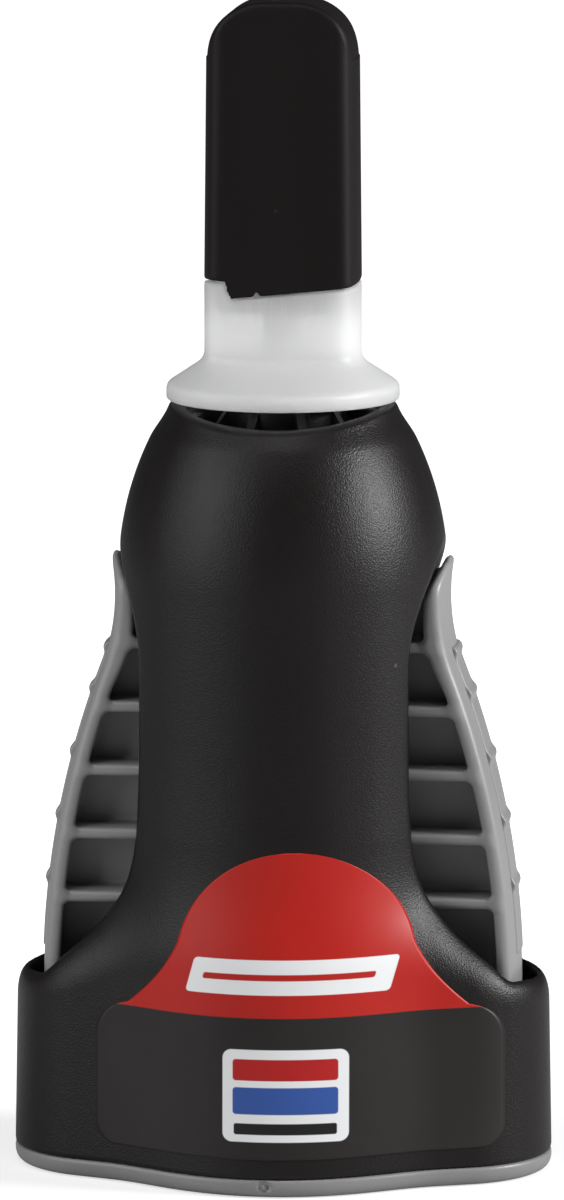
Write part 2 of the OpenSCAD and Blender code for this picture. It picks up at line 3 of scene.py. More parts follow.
import bpy
import numpy as np
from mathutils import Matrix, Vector


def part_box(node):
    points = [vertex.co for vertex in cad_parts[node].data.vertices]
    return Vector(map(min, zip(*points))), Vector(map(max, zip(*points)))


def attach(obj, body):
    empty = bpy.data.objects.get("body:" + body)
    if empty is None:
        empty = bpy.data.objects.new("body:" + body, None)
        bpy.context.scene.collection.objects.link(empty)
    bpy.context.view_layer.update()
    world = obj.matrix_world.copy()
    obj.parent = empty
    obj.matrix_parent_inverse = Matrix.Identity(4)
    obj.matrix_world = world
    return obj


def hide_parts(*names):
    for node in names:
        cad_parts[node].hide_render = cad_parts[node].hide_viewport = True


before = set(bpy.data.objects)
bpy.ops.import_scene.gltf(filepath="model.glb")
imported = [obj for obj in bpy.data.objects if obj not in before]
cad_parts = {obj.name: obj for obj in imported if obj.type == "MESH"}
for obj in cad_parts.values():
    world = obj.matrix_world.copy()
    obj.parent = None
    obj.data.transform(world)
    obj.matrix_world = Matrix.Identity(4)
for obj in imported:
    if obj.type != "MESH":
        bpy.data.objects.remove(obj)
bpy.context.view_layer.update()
MM = 0.001


def cad_box(node):
    low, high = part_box(node)
    return np.array(low) / MM, np.array(high) / MM


# Sizes in millimetres. Boxes of the CAD nodes give the main ones.
HOUSING_LOW, HOUSING_HIGH = cad_box("housing")
BASE_LOW, BASE_HIGH = cad_box("base_plate")
NOZZLE_LOW, NOZZLE_HIGH = cad_box("nozzle")
CAP_LOW, CAP_HIGH = cad_box("cap_shell")
GRIP_LOW, GRIP_HIGH = cad_box("right_grip")
STRIP_LOW, STRIP_HIGH = cad_box("right_grip_strip")

# Housing
SKIRT_H = HOUSING_LOW[2]
TOP_Z = HOUSING_HIGH[2]
FOOT_HALF = HOUSING_HIGH[0]
BULGE_R = HOUSING_HIGH[1]
CORNER_R = 9.5
WING_R = 14.7
WING_X = FOOT_HALF - CORNER_R
FOOT_DRAFT = 0.018
WALL = 1.5
BARREL_R = 14.6
FLARE_TOP_R = 14.45
FLARE_Z = 31.0
FLARE_FADE = 0.12
RIM_Z = 18.3
FLARE_DX = FOOT_HALF - FLARE_TOP_R
FLARE_R = (FLARE_DX ** 2 + (FLARE_Z - RIM_Z) ** 2) / (2 * FLARE_DX)
DOME_Z = 53.0
DOME_R = 28.0
RIM_R = 8.9
TOP_SLOPE = 0.5
RIM_DIP = 1.2
RIM_DIP_R = (RIM_DIP ** 2 + RIM_R ** 2) / (2 * RIM_DIP)
WINDOW_HALF = 7.5
POCKET_HALF = 5.6
POCKET_WALL = 1.3
ARCH_Z = 45.9
ARCH_R = 9.9
WELL_R = 8.2
WELL_Z = 63.2
WELL_WALL = 1.2
WELL_HOLE_R = 4.6
WINDOW_IN = 4.0
GUIDE_IN = 2.625
GUIDE_R = 7.05
GUIDE_LOW_Z = 30.0
GUIDE_TOP_Z = 55.0

# Base plate
PLUG_H = 2.8
PLUG_GAP = 0.12
PLUG_T = 1.1
STAND_W = 3.4
HOLLOW_H = 0.6
POST_HALF = 2.4
POST_REACH = 12.4
POST_Z = 9.0
SLOT_HALF = 0.57
TAIL_Z = 3.3
CHEEK_IN = 3.72
CHEEK_T = 1.2
PIVOT_X = 16.5
PIVOT_Z = 6.5
TRUNNION_R = 1.3
KNUCKLE_R = 2.0
KNUCKLE_HALF = 3.6
BEARING_GAP = 0.05
SINK = 0.5
GATE_Z = 1.0
PIT_R = 0.75
PIT_Y = -BULGE_R - 0.4
NUB_R = 0.32
NUB_Y = NUB_R + 0.03 - BULGE_R

# Grips
GRIP_X = 21.3
GRIP_WIDE_Z = 16.5
GRIP_R = 80.0
GRIP_CX = GRIP_X - GRIP_R
GRIP_ROUND_R = 17.0
GRIP_HALF = 4.7
GRIP_WALL = 1.3
LIP_R = 18.0
LIP_START_Z = 45.0
LIP_TURN = math.asin((LIP_START_Z - GRIP_WIDE_Z) / GRIP_R)
LIP_X = GRIP_CX + (GRIP_R + LIP_R) * math.cos(LIP_TURN)
LIP_Z = GRIP_WIDE_Z + (GRIP_R + LIP_R) * math.sin(LIP_TURN)
LIP_GAP = 0.22
LIP_TIP_Z = 55.2
LIP_LEVELS = (43.0, 47.5, 51.5, LIP_TIP_Z)
LIP_THICK = (GRIP_WALL, 1.75, 1.4, 0.65)
SIDES_LOW_Z = RIM_Z + 9
WEB_T = 1.2
WEB_LOW_Z = PIVOT_Z + KNUCKLE_R + 0.6
WEB_TOP_Z = LIP_TIP_Z - 1.5
RIB_T = 1.0
RIB_TOP_Z = 47.3
RIB_PITCH = 5.7
RIB_COUNT = 5
LEAN = math.tan(math.radians(5))
PRESS_X = 7.05
NOSE_Z = 32.0
NOSE_H = 11.0
NOSE_HALF = 3.0
NOSE_REACH = (NOSE_Z + NOSE_H - PIVOT_Z) * LEAN
LEG_X = GRIP_X - 1.5 - PIVOT_X
LEG_Z = RIM_Z - 2.2 - PIVOT_Z
LEG_TAPER = 0.8
LEG_INSET = 0.2
STRIP_HALF = 2.5
STRIP_T = 0.4
STRIP_TOP_Z = 47.1
STRIP_OUT = 0.12
RIDGE_UP = 1.4
RIDGE_RISE = 0.26
RIDGE_HALF = 0.42

# Nozzle and cap
FLANGE_R = NOZZLE_HIGH[0]
FLANGE_Z = TOP_Z + 0.5
CONE_Z = FLANGE_Z + 1.4
COLLAR_Z = CONE_Z + 2.2
COLLAR_R = 6.95
FLAT_HALF = 3.9
COLLAR_WALL = 1.0
SLEEVE_R = 4.2
SKIRT_IN = FLANGE_R - 1.4
EDGE_Z = 78.5
EDGE_B = 0.9
EDGE_TURN = math.radians(220)
SPOUT_ROOT_Z = EDGE_Z - EDGE_B - 1
SPOUT_ROOT_R = 2.7
SPOUT_TIP_R = 1.15
SPOUT_Z = NOZZLE_HIGH[2]
BORE_R = 1.6
OUTLET_R = 0.5
OUTLET_SHARE = 1.6
NECK_BORE_R = 3.05
UNDER_SLOPE = 0.08
UNDER_T = 0.4
CONE_SCALE = 0.6
CAP_Z = CAP_HIGH[2]
CAP_HALF = 6.75
CAP_CORNER_R = 5.0
CAP_ARCH = 0.012
CAP_SWELL = 0.15
CAP_WALL = 1.0
CROWN_Z = CAP_Z - 3.2
CAP_SLEEVE_T = 0.8
DIMPLE_R = 1.22
DIMPLE_H = 1.4
CAP_SLEEVE_Z = EDGE_Z + EDGE_B + 0.3
SEAL_ROOM = 1.24
STEP_HALF = 0.12
EDGE_LIFT = 0.07
TEAR_X = -1.95
TEAR_HALF = 0.22
TEAR_H = 0.4
FIT_GAP = 0.12
STREAK_LONG = 4.2 * MM
STREAK_HALF = 5.0 * MM

# Label, as it sits on the photographed one
LABEL_X = 2.4
LABEL_LOW_Z = 3.5
LABEL_TOP_Z = 30.6
LABEL_HALF = 18.0
LABEL_CORNER_R = 2.0
LABEL_SHOULDER_Z = 13.3
RED_LOW_Z = 16.1
RED_HALF = 15.0
RED_DOME_R = 10.5
RED_DOME_Z = LABEL_TOP_Z - RED_DOME_R
FLANK_Z = 22.5
LABEL_LIFT = 0.09
LABEL_GRID = (150, 90)
LABEL_TRIM = 0.02
HALVINGS = 30
BAR_Z = 19.7
BAR_SLANT = 0.28
BADGE_X = -0.6


# Widths of the soft blends between forms
PLAN_BLEND = 2.0
FLARE_BLEND = 3.0
WAIST_BLEND = 1.2
RIM_BLEND = 1.4
WINDOW_BLEND = 0.8
WINDOW_EDGE = 1.5
STAND_EDGE = 1.3
SEAM_EDGE = 0.35
INNER_EDGE = 0.4
DIP_EDGE = 0.5
LIP_EDGE = 0.8
GRIP_EDGE = 0.7
RIB_EDGE = 0.5
THIN_EDGE = 0.2
COLLAR_EDGE = 0.9
CAP_EDGE = 0.7
COLLAR_FOOT = 0.7
FINE_EDGE = 0.3
MARK_EDGE = 0.1


# Distance fields

def blend_min(a, b, k):
    """The smaller of two distances, rounded over a width k where they meet."""
    h = np.clip(0.5 + 0.5 * (b - a) / k, 0, 1)
    return b + (a - b) * h - k * h * (1 - h)


def blend_max(a, b, k):
    return -blend_min(-a, -b, k)


def slab(value, low, high):
    return np.abs(value - (low + high) / 2) - (high - low) / 2


def foot_plan(x, y):
    """Outline of the foot: a round middle with a tapering wing to each side."""
    across = np.abs(y)
    along = np.abs(x)
    sine = (WING_R - CORNER_R) / WING_X
    cosine = math.sqrt(1 - sine * sine)
    place = cosine * along - sine * across
    side = cosine * across + sine * along - WING_R
    wing = np.where(place < 0, np.hypot(along, across) - WING_R,
                    np.where(place > cosine * WING_X,
                             np.hypot(along - WING_X, across) - CORNER_R, side))
    return blend_min(np.hypot(x, y) - BULGE_R, wing, PLAN_BLEND)


def bell(x, y, z):
    """Outer form of the housing: domed barrel, flare and foot."""
    r = np.hypot(x, y)
    dome = np.where(z < DOME_Z, r - BARREL_R,
                    np.hypot(r - BARREL_R + DOME_R, z - DOME_Z) - DOME_R)
    cone = ((r - RIM_R) * TOP_SLOPE + z - TOP_Z) / math.hypot(1, TOP_SLOPE)
    barrel = blend_max(blend_max(dome, cone, RIM_BLEND), z - TOP_Z, FINE_EDGE)
    flare = np.where(z < FLARE_Z,
                     FLARE_R - np.hypot(r - FLARE_TOP_R - FLARE_R, z - FLARE_Z),
                     r - FLARE_TOP_R + FLARE_FADE * (z - FLARE_Z))
    plan = foot_plan(x, y) + FOOT_DRAFT * (z - SKIRT_H)
    return blend_min(barrel, blend_max(plan, flare, FLARE_BLEND), WAIST_BLEND)


def window(y, z, gap):
    """Outline of a side window, drawn in by a gap."""
    across = np.abs(y)
    low_half = POCKET_HALF + (WINDOW_HALF - POCKET_HALF) * np.clip((z - RIM_Z) / (FLARE_Z - RIM_Z), 0, 1)
    arch = np.hypot(across + ARCH_R - WINDOW_HALF, z - ARCH_Z) - ARCH_R
    sides = np.where(z < ARCH_Z, across - low_half, arch)
    return blend_max(sides + gap, RIM_Z + gap - z, WINDOW_BLEND)


def housing_field(x, y, z):
    outer = bell(x, y, z)
    within = foot_plan(x, y) + POCKET_WALL
    opening = blend_max(np.maximum(window(y, z, 0), WINDOW_IN - np.abs(x)), within, WINDOW_BLEND)
    body = blend_max(outer, -opening, WINDOW_EDGE)
    body = blend_max(body, -(outer + WALL), INNER_EDGE)
    r = np.hypot(x, y)
    well = np.maximum(r - WELL_R - WELL_WALL, slab(z, WELL_Z - WELL_WALL, TOP_Z - WALL / 2))
    guide = np.maximum(slab(np.abs(x), GUIDE_IN, GUIDE_IN + WALL), slab(z, GUIDE_LOW_Z, GUIDE_TOP_Z))
    guide = np.maximum(guide, np.maximum(GUIDE_R - r, r - BARREL_R + WALL / 2))
    body = np.minimum(np.minimum(body, well), guide)
    body = blend_max(body, -np.maximum(r - WELL_R, WELL_Z - z), FINE_EDGE)
    body = np.maximum(body, WELL_HOLE_R - r)
    dip = RIM_DIP_R - np.hypot(x, z - TOP_Z + RIM_DIP - RIM_DIP_R)
    body = blend_max(body, dip, DIP_EDGE)
    pocket = np.maximum(within, np.abs(y) - POCKET_HALF)
    pocket = np.maximum(pocket, slab(z, RIM_Z - 2 * WALL, RIM_Z + WALL))
    body = blend_max(body, -pocket, INNER_EDGE)
    return blend_max(body, SKIRT_H - z, SEAM_EDGE)


def base_field(x, y, z):
    plan = foot_plan(x, y)
    skirt = blend_max(blend_max(plan, z - SKIRT_H, SEAM_EDGE), -z, STAND_EDGE)
    skirt = np.maximum(skirt, -np.maximum(plan + STAND_W, z - HOLLOW_H))
    pit = np.sqrt(x ** 2 + (y - PIT_Y) ** 2 + (z - GATE_Z) ** 2) - PIT_R
    nub = np.sqrt(x ** 2 + (y - NUB_Y) ** 2 + (z - GATE_Z) ** 2) - NUB_R
    skirt = np.minimum(blend_max(skirt, -pit, MARK_EDGE), nub)
    inside = plan + WALL + PLUG_GAP
    plug = np.maximum(inside, -inside - PLUG_T)
    plug = np.maximum(plug, slab(z, SKIRT_H - SINK, SKIRT_H + PLUG_H))
    across = np.abs(y)
    along = np.abs(x)
    post = np.maximum(along - POST_HALF, across - POST_REACH)
    post = np.maximum(post, slab(z, SKIRT_H - SINK, POST_Z))
    slot = np.maximum(along - SLOT_HALF, across - POST_REACH + WALL)
    post = np.maximum(post, -np.maximum(slot, TAIL_Z - z))
    reach = KNUCKLE_R + FIT_GAP
    round_end = np.hypot(along - PIVOT_X, z - PIVOT_Z)
    ear = np.minimum(round_end - reach,
                     np.maximum(np.abs(along - PIVOT_X) - reach, slab(z, SKIRT_H - SINK, PIVOT_Z)))
    ear = np.maximum(ear, TRUNNION_R + BEARING_GAP - round_end)
    ear = np.maximum(ear, slab(across, CHEEK_IN, CHEEK_IN + CHEEK_T))
    return np.minimum(np.minimum(skirt, plug), np.minimum(post, ear))


def grip_face(x, y, z):
    turn = np.arctan2(z - GRIP_WIDE_Z, x - GRIP_CX)
    ring = np.hypot(x - GRIP_CX, z - GRIP_WIDE_Z) - GRIP_R + GRIP_ROUND_R
    lip = np.hypot(x - LIP_X, z - LIP_Z) - LIP_R - GRIP_ROUND_R
    return np.hypot(np.where(turn < LIP_TURN, ring, lip), y) - GRIP_ROUND_R


def grip_field(x, y, z):
    face = grip_face(x, y, z)
    thick = np.interp(z, LIP_LEVELS, LIP_THICK)
    wall = np.maximum(face, -face - thick)
    wall = np.maximum(wall, PRESS_X - x)
    wall = np.maximum(wall, GRIP_WIDE_Z - z)
    wall = blend_max(wall, z - LIP_TIP_Z, LIP_EDGE)
    sides = blend_max(window(y, np.maximum(z, SIDES_LOW_Z), LIP_GAP), np.abs(y) - GRIP_HALF, GRIP_EDGE)
    wall = blend_max(wall, sides, GRIP_EDGE)
    edge = PRESS_X + (z - PIVOT_Z) * LEAN
    behind = np.maximum(face + GRIP_WALL / 2, edge - x)
    web = np.maximum(np.abs(y) - WEB_T / 2, slab(z, WEB_LOW_Z, WEB_TOP_Z))
    ribs = web
    for i in range(RIB_COUNT):
        level = RIB_TOP_Z - i * RIB_PITCH
        rib = blend_max(np.abs(z - level) - RIB_T / 2, np.abs(y) - GRIP_HALF + FIT_GAP, RIB_EDGE)
        ribs = blend_min(ribs, rib, RIB_EDGE)
    ribs = blend_max(ribs, behind, FINE_EDGE)
    slope = np.clip(1 - (x - PRESS_X) / (NOSE_REACH + 1), 0, 1) * NOSE_REACH / 2
    nose = np.maximum(slab(x, PRESS_X, PRESS_X + NOSE_REACH + 1), np.abs(y) - NOSE_HALF)
    nose = blend_max(nose, np.maximum(NOSE_Z + slope - z, z - NOSE_Z - NOSE_H + slope), INNER_EDGE)
    share = np.clip(((x - PIVOT_X) * LEG_X + (z - PIVOT_Z) * LEG_Z) / (LEG_X ** 2 + LEG_Z ** 2), 0, 1)
    leg = np.hypot(x - PIVOT_X - share * LEG_X, z - PIVOT_Z - share * LEG_Z) - KNUCKLE_R + LEG_TAPER * share
    leg = np.maximum(np.maximum(leg, np.abs(y) - KNUCKLE_HALF), face + LEG_INSET)
    trunnion = np.maximum(np.hypot(x - PIVOT_X, z - PIVOT_Z) - TRUNNION_R,
                          np.abs(y) - KNUCKLE_HALF - CHEEK_T)
    body = blend_min(wall, ribs, RIB_EDGE)
    return np.minimum(np.minimum(body, nose), np.minimum(leg, trunnion))


def strip_field(x, y, z):
    """A thin strip with one small ridge for each rib and one at its top end."""
    face = grip_face(x, y, z)
    phase = (RIB_TOP_Z + RIDGE_UP - z) / RIB_PITCH
    off = np.where(z > STRIP_TOP_Z - RIB_PITCH / 2, STRIP_TOP_Z - RIDGE_HALF - z,
                   (phase - np.round(phase)) * RIB_PITCH)
    ridge = RIDGE_RISE * np.exp(-(off / RIDGE_HALF) ** 2) * (z > STRIP_LOW[2] + RIB_PITCH / 2)
    skin = blend_max(face - STRIP_OUT - ridge, np.abs(y) - STRIP_HALF, THIN_EDGE)
    skin = blend_max(skin, slab(z, STRIP_LOW[2], STRIP_TOP_Z), THIN_EDGE)
    return np.maximum(skin, -face - STRIP_T / 2)


def edge_height(x, y):
    """Height of the stepped edge between collar and cap."""
    along = x * math.cos(EDGE_TURN) + y * math.sin(EDGE_TURN)
    across = y * math.cos(EDGE_TURN) - x * math.sin(EDGE_TURN)
    return EDGE_Z - EDGE_B * along / COLLAR_R * np.clip(across / STEP_HALF, -1, 1)


def nozzle_field(x, y, z):
    r = np.hypot(x, y)
    plan = blend_max(r - COLLAR_R, np.abs(y) - FLAT_HALF, COLLAR_EDGE)
    rise = (z - CONE_Z) / (COLLAR_Z - CONE_Z)
    cone = ((r - FLANGE_R) * (1 - rise) + plan * rise) * CONE_SCALE
    flange = blend_max(blend_max(r - FLANGE_R, cone, INNER_EDGE), FLANGE_Z - z, SEAM_EDGE)
    flange = np.maximum(flange, z - COLLAR_Z)
    under = CONE_Z - UNDER_T + (SKIRT_IN - r) * UNDER_SLOPE
    flange = blend_max(flange, -np.maximum(r - SKIRT_IN, z - under), FINE_EDGE)
    sleeve = np.maximum(r - SLEEVE_R, slab(z, NOZZLE_LOW[2], CONE_Z + 1))
    top = z - edge_height(x, y) + FIT_GAP / 2
    collar = blend_max(plan, top / 2, THIN_EDGE)
    collar = np.maximum(collar, CONE_Z - z)
    body = blend_min(flange, collar, COLLAR_FOOT)
    body = np.minimum(body, sleeve)
    body = np.maximum(body, -np.maximum(plan + COLLAR_WALL, SPOUT_ROOT_Z - z))
    part = np.clip((z - SPOUT_ROOT_Z) / (SPOUT_Z - SPOUT_ROOT_Z), 0, 1)
    spout = r - SPOUT_ROOT_R - (SPOUT_TIP_R - SPOUT_ROOT_R) * part
    spout = blend_max(spout, slab(z, SPOUT_ROOT_Z - 1, SPOUT_Z), FINE_EDGE)
    body = blend_min(body, spout, FINE_EDGE)
    narrow = BORE_R + (OUTLET_R - BORE_R) * np.clip(part * OUTLET_SHARE, 0, 1)
    bore = np.where(z < FLANGE_Z, NECK_BORE_R, narrow)
    return np.maximum(body, bore - r)


def cap_field(x, y, z):
    r = np.hypot(x, y)
    along = np.abs(x)
    share = np.clip((z - EDGE_Z) / (CAP_Z - CAP_CORNER_R - EDGE_Z), 0, 1)
    half = COLLAR_R + (CAP_HALF - COLLAR_R) * share + CAP_SWELL
    corner_z = CAP_Z - CAP_CORNER_R
    over = np.maximum(z + CAP_ARCH * x * x - corner_z, 0)
    arch = np.hypot(np.maximum(along - CAP_HALF + CAP_CORNER_R, 0), over) - CAP_CORNER_R
    plan = blend_max(r - half, np.abs(y) - FLAT_HALF, CAP_EDGE)
    outer = blend_max(plan, np.where(z < corner_z, along - half, arch), CAP_EDGE)
    cavity = np.maximum(outer + CAP_WALL, z - CROWN_Z)
    shell = np.maximum(outer, -cavity)
    part = np.clip((z - SPOUT_ROOT_Z) / (SPOUT_Z - SPOUT_ROOT_Z), 0, 1)
    bore = SPOUT_ROOT_R + (SPOUT_TIP_R - SPOUT_ROOT_R) * part + FIT_GAP
    sleeve = np.maximum(r - bore - CAP_SLEEVE_T, CAP_SLEEVE_Z - z)
    shell = np.minimum(shell, np.maximum(sleeve, outer + CAP_WALL / 2))
    shell = np.maximum(shell, -np.maximum(r - bore, z - SPOUT_Z - SEAL_ROOM))
    shell = blend_max(shell, -np.maximum(r - DIMPLE_R, CAP_Z - DIMPLE_H - z), SEAM_EDGE)
    torn = EDGE_LIFT + TEAR_H * np.exp(-((x - TEAR_X) / TEAR_HALF) ** 2) * (y < 0)
    low = edge_height(x, y) + FIT_GAP / 2 + torn
    return blend_max(shell, (low - z) / 1.5, THIN_EDGE)


# Meshes

CORNERS = np.array([(i, j, k) for i in (0, 1) for j in (0, 1) for k in (0, 1)])
EDGES = [(a, b) for a in range(8) for b in range(a + 1, 8) if np.abs(CORNERS[a] - CORNERS[b]).sum() == 1]
RING = ((-1, -1), (0, -1), (0, 0), (-1, 0))
NEWTON_STEPS = 4


def gradient(field, points, step):
    parts = []
    for axis in range(3):
        shift = np.zeros(3)
        shift[axis] = step
        parts.append(field(*(points + shift).T) - field(*(points - shift).T))
    return np.stack(parts, axis=1) / (2 * step)


def surface_net(field, low, high, step):
    """Mesh of the zero surface of a field, with its points moved onto that surface."""
    low = np.array(low, float) - 2 * step
    counts = np.ceil((np.array(high) + 2 * step - low) / step).astype(int) + 1
    lines = [low[axis] + step * np.arange(counts[axis]) for axis in range(3)]
    value = np.broadcast_to(field(*np.meshgrid(*lines, indexing="ij", sparse=True)), counts)
    inside = value < 0
    total = sum(inside[i:counts[0] - 1 + i, j:counts[1] - 1 + j, k:counts[2] - 1 + k].astype(np.int8)
                for i, j, k in CORNERS)
    cells = np.argwhere((total > 0) & (total < 8))
    number = np.full(counts - 1, -1)
    number[tuple(cells.T)] = np.arange(len(cells))
    corner_values = np.stack([value[tuple((cells + c).T)] for c in CORNERS], axis=1)
    place = np.zeros((len(cells), 3))
    crossings = np.zeros(len(cells))
    for a, b in EDGES:
        va, vb = corner_values[:, a], corner_values[:, b]
        cross = (va < 0) != (vb < 0)
        share = np.where(cross, va / np.where(cross, va - vb, 1), 0)
        place += cross[:, None] * (CORNERS[a] + share[:, None] * (CORNERS[b] - CORNERS[a]))
        crossings += cross
    points = low + step * (cells + place / crossings[:, None])
    for _ in range(NEWTON_STEPS):
        slope = gradient(field, points, step / 10)
        size = np.maximum((slope ** 2).sum(1), 0.05)
        move = slope * (field(*points.T) / size)[:, None]
        points = points - np.clip(move, -step / 2, step / 2)
    quads = []
    for axis in range(3):
        one, two = (axis + 1) % 3, (axis + 2) % 3
        here = [slice(0, n) for n in counts]
        there = list(here)
        here[axis], there[axis] = slice(0, counts[axis] - 1), slice(1, counts[axis])
        start, end = inside[tuple(here)], inside[tuple(there)]
        ends = np.argwhere(start != end)
        ends = ends[(ends[:, one] > 0) & (ends[:, one] < counts[one] - 1)
                    & (ends[:, two] > 0) & (ends[:, two] < counts[two] - 1)]
        loop = []
        for p, q in RING:
            cell = ends.copy()
            cell[:, one] += p
            cell[:, two] += q
            loop.append(number[tuple(cell.T)])
        loop = np.stack(loop, axis=1)
        outward = start[tuple(ends.T)]
        quads.append(np.where(outward[:, None], loop, loop[:, ::-1]))
    normals = gradient(field, points, step / 4)
    normals /= np.maximum(np.linalg.norm(normals, axis=1), 1e-6)[:, None]
    return points, np.concatenate(quads), normals


def make_mesh(name, points, faces, normals=None):
    mesh = bpy.data.meshes.new(name)
    mesh.vertices.add(len(points))
    mesh.vertices.foreach_set("co", (np.asarray(points) * MM).ravel())
    mesh.loops.add(faces.size)
    mesh.loops.foreach_set("vertex_index", faces.ravel())
    mesh.polygons.add(len(faces))
    mesh.polygons.foreach_set("loop_start", np.arange(0, faces.size, faces.shape[1]))
    mesh.update(calc_edges=True)
    mesh.validate()
    mesh.polygons.foreach_set("use_smooth", np.ones(len(mesh.polygons), bool))
    if normals is not None:
        mesh.normals_split_custom_set_from_vertices(normals.tolist())
    piece = bpy.data.objects.new(name, mesh)
    bpy.context.scene.collection.objects.link(piece)
    return piece


def mirrored(points, faces, normals):
    flip = np.array([-1, 1, 1])
    return points * flip, faces[:, ::-1].copy(), normals * flip


def place(piece, node, body, slot, material):
    piece.data.materials.append(material)
    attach(piece, body)
    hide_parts(node)
    return piece


# Materials

class Paint:
    """A material's node tree, with short calls for the nodes used here."""

    def __init__(self, name):
        self.material = bpy.data.materials.new(name)
        self.material.use_nodes = True
        self.nodes = self.material.node_tree.nodes
        self.links = self.material.node_tree.links
        self.shader = self.nodes["Principled BSDF"]
        self.place = self.nodes.new("ShaderNodeTexCoord").outputs["Object"]

    def put(self, value, socket):
        if isinstance(value, bpy.types.NodeSocket):
            self.links.new(value, socket)
        else:
            socket.default_value = value

    def math(self, operation, *values):
        node = self.nodes.new("ShaderNodeMath")
        node.operation = operation
        for value, socket in zip(values, node.inputs):
            self.put(value, socket)
        return node.outputs[0]

    def noise(self, scale, detail=2.0, stretch=(1, 1, 1), distortion=0.0):
        mapping = self.nodes.new("ShaderNodeMapping")
        mapping.inputs["Scale"].default_value = stretch
        self.links.new(self.place, mapping.inputs["Vector"])
        node = self.nodes.new("ShaderNodeTexNoise")
        node.inputs["Scale"].default_value = scale
        node.inputs["Detail"].default_value = detail
        node.inputs["Distortion"].default_value = distortion
        self.links.new(mapping.outputs["Vector"], node.inputs["Vector"])
        return node.outputs["Fac"]

    def ramp(self, value, low, high, out_low=0.0, out_high=1.0):
        node = self.nodes.new("ShaderNodeMapRange")
        self.put(value, node.inputs["Value"])
        limits = {"From Min": low, "From Max": high, "To Min": out_low, "To Max": out_high}
        for key, number in limits.items():
            node.inputs[key].default_value = number
        return node.outputs["Result"]

    def mix(self, share, first, second):
        node = self.nodes.new("ShaderNodeMix")
        node.data_type = "RGBA"
        self.put(share, node.inputs[0])
        self.put(first, node.inputs[6])
        self.put(second, node.inputs[7])
        return node.outputs[2]

    def bump(self, height, strength, distance):
        node = self.nodes.new("ShaderNodeBump")
        node.inputs["Strength"].default_value = strength
        node.inputs["Distance"].default_value = distance
        self.put(height, node.inputs["Height"])
        self.put(node.outputs["Normal"], self.shader.inputs["Normal"])

    def set(self, **values):
        for key, value in values.items():
            self.put(value, self.shader.inputs[key.replace("_", " ")])
        return self.material


def rgb(red, green, blue):
    return (red, green, blue, 1.0)


def specks(paint, scale, amount):
    """Small pale dust specks, more of them as amount grows."""
    node = paint.nodes.new("ShaderNodeTexVoronoi")
    node.inputs["Scale"].default_value = scale
    paint.links.new(paint.place, node.inputs["Vector"])
    spot = paint.ramp(node.outputs["Distance"], 0.10, 0.04)
    chosen = paint.ramp(paint.noise(scale / 2.3, 1.0), 0.70 - amount, 0.74 - amount)
    return paint.math("MULTIPLY", spot, chosen)


def matt_black(name, base, worn, rough, grain, shine):
    paint = Paint(name)
    cloud = paint.noise(60, 3)
    color = paint.mix(paint.ramp(cloud, 0.35, 0.75), rgb(*base), rgb(*worn))
    dust = specks(paint, 420, 0.05)
    color = paint.mix(paint.math("MULTIPLY", dust, 0.5), color, rgb(0.16, 0.16, 0.15))
    scuff = paint.noise(240, 4, (1, 1, 0.12), 0.3)
    roughness = paint.ramp(scuff, 0.3, 0.8, rough + 0.07, rough - 0.05)
    paint.bump(paint.noise(6500, 2), grain, 0.0001)
    return paint.set(Base_Color=color, Roughness=roughness, Specular_IOR_Level=shine)


def satin_grey(name, base, worn):
    paint = Paint(name)
    color = paint.mix(paint.ramp(paint.noise(45, 3), 0.3, 0.75), rgb(*base), rgb(*worn))
    color = paint.mix(paint.math("MULTIPLY", specks(paint, 380, 0.04), 0.3), color, rgb(0.5, 0.5, 0.5))
    roughness = paint.ramp(paint.noise(300, 3, (1, 1, 0.15)), 0.3, 0.75, 0.34, 0.46)
    paint.bump(paint.noise(1800, 2), 0.12, 0.0001)
    return paint.set(Base_Color=color, Roughness=roughness)


def natural_plastic():
    paint = Paint("nozzle_natural")
    cloud = paint.ramp(paint.noise(90, 3), 0.3, 0.7)
    color = paint.mix(cloud, rgb(0.97, 0.97, 0.97), rgb(0.92, 0.92, 0.925))
    split = paint.nodes.new("ShaderNodeSeparateXYZ")
    paint.links.new(paint.place, split.inputs[0])
    depth = paint.math("SUBTRACT", EDGE_Z * MM, split.outputs["Z"])
    near = paint.math("MULTIPLY", paint.ramp(depth, STREAK_LONG, STREAK_LONG / 4),
                      paint.ramp(paint.math("ABSOLUTE", split.outputs["X"]), STREAK_HALF, STREAK_HALF / 2))
    streak = paint.ramp(paint.noise(1500, 3, (1, 1, 0.16), 0.5), 0.50, 0.60)
    color = paint.mix(paint.math("MULTIPLY", streak, near), color, rgb(1.0, 1.0, 1.0))
    roughness = paint.ramp(paint.noise(220, 3), 0.3, 0.7, 0.42, 0.54)
    paint.bump(paint.noise(700, 2), 0.14, 0.0001)
    return paint.set(Base_Color=color, Roughness=roughness, Subsurface_Weight=1.0,
                     Subsurface_Radius=(1.0, 1.0, 1.0), Subsurface_Scale=0.005,
                     Transmission_Weight=0.42, IOR=1.45)


def bare_metal(name, base, worn, rough, grain_scale, stretch):
    paint = Paint(name)
    grain = paint.noise(grain_scale, 3, stretch)
    color = paint.mix(grain, rgb(*base), rgb(*worn))
    roughness = paint.ramp(grain, 0.3, 0.7, rough, rough + 0.12)
    return paint.set(Base_Color=color, Metallic=1.0, Roughness=roughness)


def soft_stuff(name, base, worn, rough, clear):
    paint = Paint(name)
    color = paint.mix(paint.ramp(paint.noise(150, 3), 0.3, 0.7), rgb(*base), rgb(*worn))
    return paint.set(Base_Color=color, Roughness=paint.ramp(paint.noise(90), 0.3, 0.7, rough, rough + 0.1),
                     Transmission_Weight=clear)


